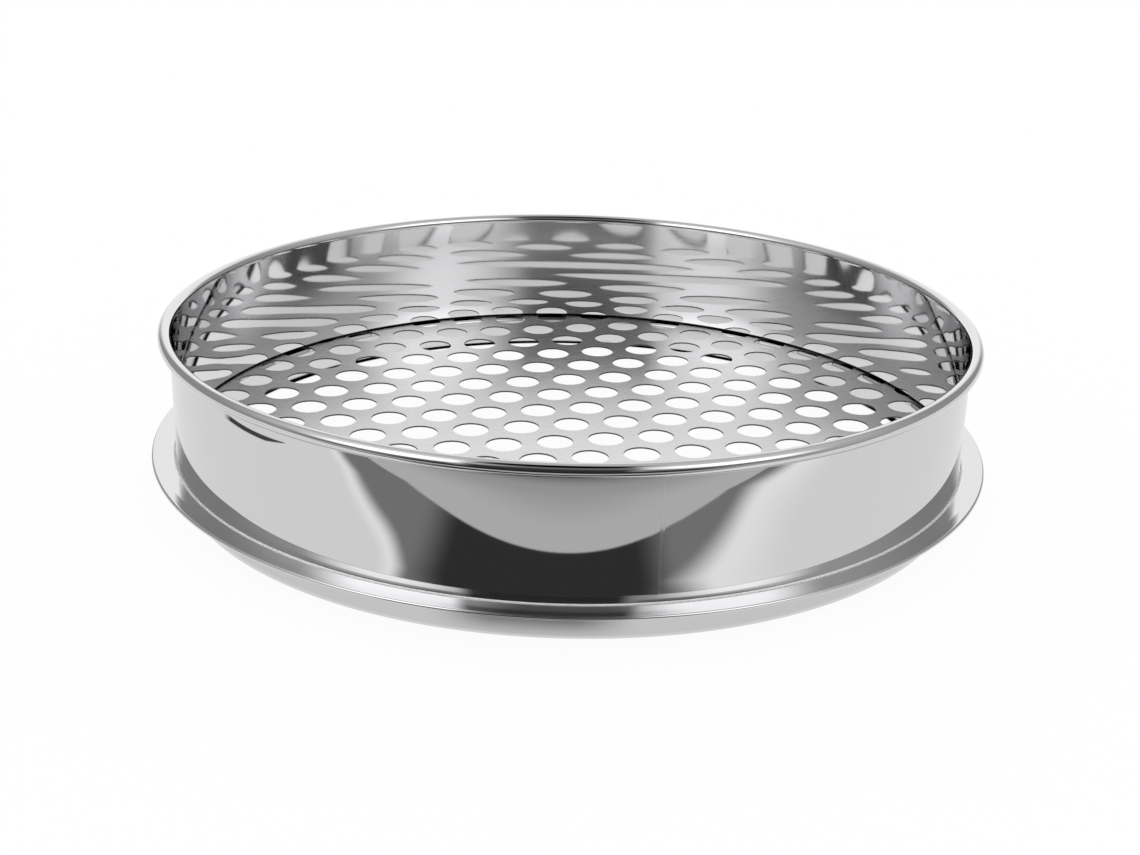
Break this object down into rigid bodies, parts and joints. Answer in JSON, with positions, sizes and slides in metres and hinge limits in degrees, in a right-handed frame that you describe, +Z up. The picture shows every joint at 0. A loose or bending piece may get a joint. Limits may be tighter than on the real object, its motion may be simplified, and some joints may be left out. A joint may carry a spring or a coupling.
{
  "type": "round perforated plate sieve",
  "caption": "Round stainless steel pan sieve with a curled rim, a folded flange, a punched round-hole plate and a nesting ring below.",
  "frame": {"origin": "centre of the lower ring's bottom edge, on the surface that the sieve stands on", "axes": "+Z up along the sieve's own axis; -Y towards the picture's camera, +X to its right"},
  "size_m": [0.3168, 0.3168, 0.0607],
  "materials": {
    "frame_steel": "polished stainless steel strip",
    "weld_steel": "butt weld ground flush and polished over",
    "plate_steel": "satin stainless steel sheet, punched",
    "ring_steel": "semi-polished stainless steel strip"
  },
  "bodies": {
    "root": {"upper_frame": "frame_steel", "frame_weld": "weld_steel", "perforated_plate": "plate_steel", "lower_ring": "ring_steel", "ring_weld": "weld_steel"}
  },
  "joints": []
}
